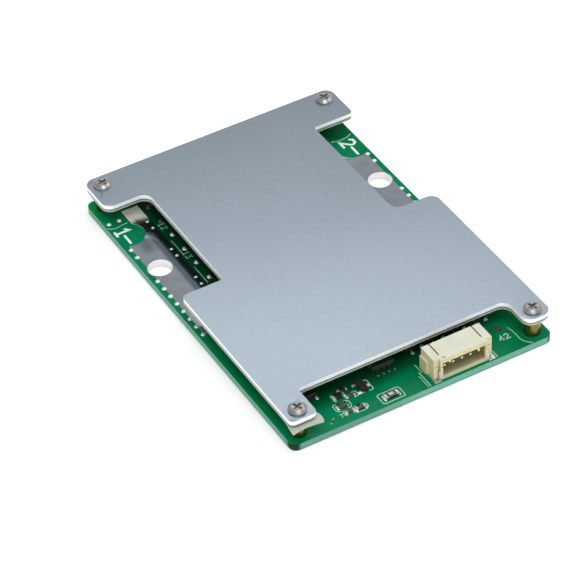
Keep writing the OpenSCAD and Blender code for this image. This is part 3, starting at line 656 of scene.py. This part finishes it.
numberStrokes = {  # on a grid 0.6 wide and 1 high
    "0": [((0.0, 0.2), (0.0, 0.8), (0.15, 1.0), (0.45, 1.0), (0.6, 0.8), (0.6, 0.2), (0.45, 0.0), (0.15, 0.0),
           (0.0, 0.2))],
    "1": [((0.1, 0.8), (0.33, 1.0), (0.33, 0.0)), ((0.1, 0.0), (0.56, 0.0))],
    "2": [((0.0, 0.8), (0.14, 1.0), (0.46, 1.0), (0.6, 0.82), (0.6, 0.62), (0.0, 0.0), (0.6, 0.0))],
    "3": [((0.0, 1.0), (0.6, 1.0), (0.28, 0.6), (0.6, 0.38), (0.6, 0.14), (0.44, 0.0), (0.1, 0.0), (0.0, 0.12))],
    "4": [((0.44, 0.0), (0.44, 1.0), (0.0, 0.3), (0.62, 0.3))],
    "5": [((0.58, 1.0), (0.04, 1.0), (0.04, 0.58), (0.42, 0.6), (0.6, 0.42), (0.6, 0.14), (0.44, 0.0), (0.0, 0.0))],
    "7": [((0.0, 1.0), (0.6, 1.0), (0.22, 0.0))],
    "-": [((0.0, 0.5), (0.9, 0.5))],
}


# text runs along "along", its height along "up"
def addNumber(bm, word, at, height, along, up, width, proud=0.02):
    pen = 0.0
    for mark in word:
        for stroke in numberStrokes[mark]:
            points = [(at[0] + (along[0] * (pen + u) + up[0] * v) * height,
                       at[1] + (along[1] * (pen + u) + up[1] * v) * height) for u, v in stroke]
            looped = points[0] == points[-1]
            addRibbon(bm, points[:-1] if looped else points, width, looped, proud)
            proud += 0.0015
        pen += 0.95


def boxPoints(x, y, w, h, cut=0.3):
    a, b = w / 2, h / 2
    return [(x - a + cut, y - b), (x + a - cut, y - b), (x + a, y - b + cut), (x + a, y + b - cut),
            (x + a - cut, y + b), (x - a + cut, y + b), (x - a, y + b - cut), (x - a, y - b + cut)]


# a bracket open towards -side
def bracketPoints(x, y, reach, h, side, cut=0.25):
    edge = x + side * reach
    return [(x, y - h / 2), (edge - side * cut, y - h / 2), (edge, y - h / 2 + cut), (edge, y + h / 2 - cut),
            (edge - side * cut, y + h / 2), (x, y + h / 2)]


inkLines = {"fine": 0.13, "line": 0.18}
outlines = [  # closed, width, points
    (False, "line", [(-29.85, 33.75), (-29.4, 33.3), (-28.7, 33.0), (-27.7, 32.95), (-26.6, 33.2), (-25.4, 33.25)]),
    (False, "line", [(24.4, 33.45), (25.6, 32.98), (26.8, 32.85), (28.2, 33.1), (29.4, 33.7)]),
    (False, "line", [(23.45, -36.9), (23.75, -38.2), (23.8, -39.9), (23.75, -40.9), (24.0, -41.9), (24.6, -42.7),
                     (25.3, -43.3)]),
    (False, "fine", [(-20.4, 23.1), (-20.4, 17.7)]),
    (False, "fine", [(-20.4, 13.1), (-20.4, 7.5)]),
    (False, "fine", [(2.0, -36.4), (2.0, -39.0)]),
    (False, "line", [(1.5, -38.7), (1.5, -43.2)]),
    (False, "fine", [(0.95, -39.6), (0.95, -43.2)]),
    (False, "line", [(17.15, -41.2), (17.15, -43.0)]),
    (True, "line", boxPoints(-6.5, -41.3, 5.0, 2.9)),
    (True, "line", boxPoints(-13.4, -41.1, 3.3, 1.75, 0.6)),
    (False, "line", bracketPoints(-12.75, -37.1, 1.0, 1.5, 1)),
    (False, "line", bracketPoints(-15.3, -38.8, 0.95, 2.2, 1, 0.5)),
    (False, "line", bracketPoints(-17.1, -38.8, 0.75, 2.2, -1, 0.4)),
    (False, "line", bracketPoints(-15.0, -40.9, 0.5, 1.4, 1)),
    (False, "fine", bracketPoints(-16.4, -40.9, 0.6, 1.4, -1)),
    (False, "fine", bracketPoints(-14.5, -36.1, 0.45, 2.0, 1)),
    (False, "fine", bracketPoints(-16.3, -36.1, 0.5, 2.0, -1)),
    (False, "line", bracketPoints(-9.3, -36.3, 0.95, 3.1, 1, 0.2)),
    (False, "fine", [(-19.7, -41.0), (-19.3, -41.0)]),
    (False, "fine", [(-20.6, -41.9), (-20.3, -42.1)]),
]
reading = {"across": ((1, 0), (0, 1)), "toFront": ((0, -1), (1, 0)), "toRear": ((0, 1), (-1, 0))}
numbers = [  # mark, corner, height, direction, width
    ("1", (-29.2, 32.0), 3.0, "toFront", 0.58),
    ("-", (-29.35, 29.75), 3.0, "toFront", 0.54),
    ("2", (25.75, 32.1), 3.0, "toFront", 0.58),
    ("-", (25.7, 29.55), 3.0, "toFront", 0.54),
]
marks = [
    ("12", (-20.3, 29.3), 1.3, "toFront", 0.16),
    ("13", (-20.4, 18.4), 1.3, "toFront", 0.16),
    ("42", (20.3, -39.6), 1.35, "across", 0.3),
    ("7", (-17.9, -41.6), 0.9, "across", 0.15),
]


def addPrint():
    bm = bmesh.new()
    for closed, width, points in outlines:
        addRibbon(bm, points, inkLines[width], closed)
    addPiece("printed_lines", bm, paleInk, 40)
    for name, rows, ink in (("printed_numbers", numbers, whiteInk), ("printed_marks", marks, paleInk)):
        bm = bmesh.new()
        for word, at, height, direction, width in rows:
            addNumber(bm, word, at, height, *reading[direction], width)
        addPiece(name, bm, ink, 40)


addPrint()
print("print ready:", len(outlines), "lines,", len(numbers) + len(marks), "numbers")


# the value on the front resistor's glaze

def addResistorValue():
    low, high = min(looseParts("resistor_bodies"), key=lambda part: part[0].y)
    mid = (low + high) / 2
    x, y, top = (mid.x - boardMid.x) / mm, (mid.y - boardMid.y) / mm, (high.z - boardTop) / mm
    bm = bmesh.new()
    addNumber(bm, "50", (x - 0.43, y - 0.28), 0.56, *reading["across"], 0.14, top + 0.012)
    for v in bm.verts:
        if v.co.z < boardTop:
            v.co.z = high.z - 0.03 * mm
    addPiece("resistor_value", bm, whiteInk, 40)


addResistorValue()


# stage, lights and camera

stageLook = {"floorTone": 0.86, "flat": 1.1, "bend": 0.4, "rise": 0.6, "turns": 72, "floorGap": 0.0002,
             "lift": 0.32, "haze": (0.3, 0.9), "sky": 0.5}


# 1 for rays that reach the eye straight, or by gloss or glass
def seenRays(tree):
    rays = addNode(tree, "LightPath").outputs
    both = calc(tree, "MAXIMUM", rays["Is Camera Ray"], rays["Is Glossy Ray"])
    return calc(tree, "MAXIMUM", both, rays["Is Transmission Ray"])


# a wide round floor whose far rim curves up
def makeFloorMesh():
    rim, bend, rise, turns = (stageLook[key] for key in ("flat", "bend", "rise", "turns"))
    rings = [(rim, 0.0)]
    for k in range(1, 9):
        angle = k / 8 * math.pi / 2
        rings.append((rim + bend * math.sin(angle), bend * (1 - math.cos(angle))))
    rings.append((rim + bend, rise))
    bm = bmesh.new()
    middle = bm.verts.new((0, 0, 0))
    loops = []
    for radius, z in rings:
        angles = [2 * math.pi * i / turns for i in range(turns)]
        loops.append([bm.verts.new((radius * math.cos(a), radius * math.sin(a), z)) for a in angles])
    for i in range(turns):
        j = (i + 1) % turns
        bm.faces.new((middle, loops[0][i], loops[0][j]))
        for near, far in zip(loops, loops[1:]):
            bm.faces.new((near[i], far[i], far[j], near[j]))
    mesh = bpy.data.meshes.new("floor")
    bm.to_mesh(mesh)
    bm.free()
    mesh.polygons.foreach_set("use_smooth", [True] * len(mesh.polygons))
    return mesh


floor = bpy.data.objects.new("floor", makeFloorMesh())
floor.location.z = boardLow.z - stageLook["floorGap"]
scene.collection.objects.link(floor)
floorFinish, floorTree, floorShader = startFinish("paleFloor", grey(stageLook["floorTone"]), 0.9)
floorShader.inputs["Specular IOR Level"].default_value = 0.0
lift = calc(floorTree, "MULTIPLY", seenRays(floorTree), stageLook["lift"])
reach = addNode(floorTree, "VectorMath", {0: objectPlace(floorTree)}, operation="LENGTH").outputs["Value"]
haze = spread(floorTree, reach, 0, 1, *stageLook["haze"])
lift = calc(floorTree, "MULTIPLY_ADD", haze, addNode(floorTree, "LightPath").outputs["Is Camera Ray"], lift)
glow = addNode(floorTree, "Emission", {"Color": (1, 1, 1, 1), "Strength": lift})
both = addNode(floorTree, "AddShader", {0: floorShader.outputs["BSDF"], 1: glow.outputs["Emission"]})
floorTree.links.new(both.outputs["Shader"], floorTree.nodes["Material Output"].inputs["Surface"])
floor.data.materials.append(floorFinish)

world = bpy.data.worlds.new("studio")
scene.world = world
world.use_nodes = True
sky = world.node_tree
backdrop = sky.nodes["Background"]
backdrop.inputs["Color"].default_value = (1, 1, 1, 1)
backdrop.inputs["Strength"].default_value = stageLook["sky"]


# a soft light turned to the board's middle
def addSoftbox(name, place, size, power):
    lamp = bpy.data.lights.new(name, "AREA")
    lamp.shape = "RECTANGLE"
    lamp.size, lamp.size_y = size
    lamp.energy = power
    box = bpy.data.objects.new(name, lamp)
    box.location = place
    box.rotation_euler = (-Vector(place)).to_track_quat("-Z", "Y").to_euler()
    scene.collection.objects.link(box)


softboxes = {  # place, size, power
    "keyBox": ((0.30, 0.0, 0.29), (0.16, 0.16), 0.35),
    "topBox": ((-0.04, -0.17, 0.42), (0.20, 0.20), 0.70),
    "plateBox": ((0.049, 0.093, 0.15), (0.14, 0.05), 0.048),
    "frontBox": ((-0.10, -0.50, 0.05), (0.50, 0.08), 0.75),
    "leftBox": ((-0.50, 0.0, 0.06), (0.50, 0.10), 0.55),
}
for name, (place, size, power) in softboxes.items():
    addSoftbox(name, place, size, power)

cameraLook = {"heading": -28.3509, "tilt": 48.9798, "roll": -2.7833, "lens": 189.58,
              "place": (-0.22868595, -0.41284214, 0.40525974)}
lens = bpy.data.cameras.new("camera")
lens.lens = cameraLook["lens"]
lens.sensor_width = 36
lens.clip_start = 0.01
camera = bpy.data.objects.new("camera", lens)
turn = (Matrix.Rotation(math.radians(cameraLook["heading"]), 4, "Z")
        @ Matrix.Rotation(math.radians(cameraLook["tilt"]), 4, "X")
        @ Matrix.Rotation(math.radians(cameraLook["roll"]), 4, "Z"))
camera.matrix_world = Matrix.Translation(Vector(cameraLook["place"]) + Vector((0, 0, boardTop))) @ turn
scene.collection.objects.link(camera)
scene.camera = camera
scene.view_settings.view_transform = "Standard"
print("stage ready")
